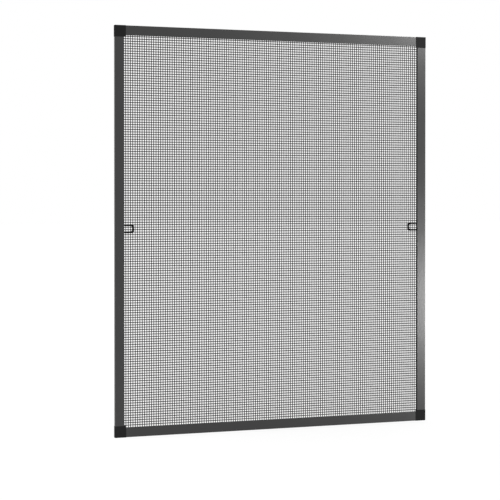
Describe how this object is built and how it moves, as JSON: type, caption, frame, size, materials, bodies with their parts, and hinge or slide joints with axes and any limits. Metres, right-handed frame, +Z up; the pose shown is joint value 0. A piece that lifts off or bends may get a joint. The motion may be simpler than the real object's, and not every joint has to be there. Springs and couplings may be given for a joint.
{
  "type": "window screen frame",
  "caption": "Rectangular insect screen frame of hollow aluminium rails with plastic corner pieces, stretched mesh cloth, rear brush seals and two pull handles.",
  "frame": {"origin": "middle of the bottom edge, half way between the corner pieces' front and the tips of the brush seals", "axes": "+X across the frame, +Y from the room side to the window side, +Z up"},
  "size_m": [1, 0.0126, 1.2],
  "materials": {
    "rail_coating": "satin anthracite coating",
    "corner_plastic": "fine grain",
    "mesh_yarn": "coated glass fibre yarn, dull",
    "spline_rubber": "dull",
    "seal_pile": "dense pile",
    "handle_plastic": "satin"
  },
  "bodies": {
    "root": {"bottom_rail": "rail_coating", "left_rail": "rail_coating", "top_rail": "rail_coating", "right_rail": "rail_coating", "bottom_spline": "spline_rubber", "left_spline": "spline_rubber", "top_spline": "spline_rubber", "right_spline": "spline_rubber", "bottom_brush_seal": "seal_pile", "left_brush_seal": "seal_pile", "top_brush_seal": "seal_pile", "right_brush_seal": "seal_pile", "bottom_left_corner": "corner_plastic", "top_left_corner": "corner_plastic", "top_right_corner": "corner_plastic", "bottom_right_corner": "corner_plastic", "insect_mesh": "mesh_yarn", "left_handle": "handle_plastic", "right_handle": "handle_plastic"}
  },
  "joints": []
}
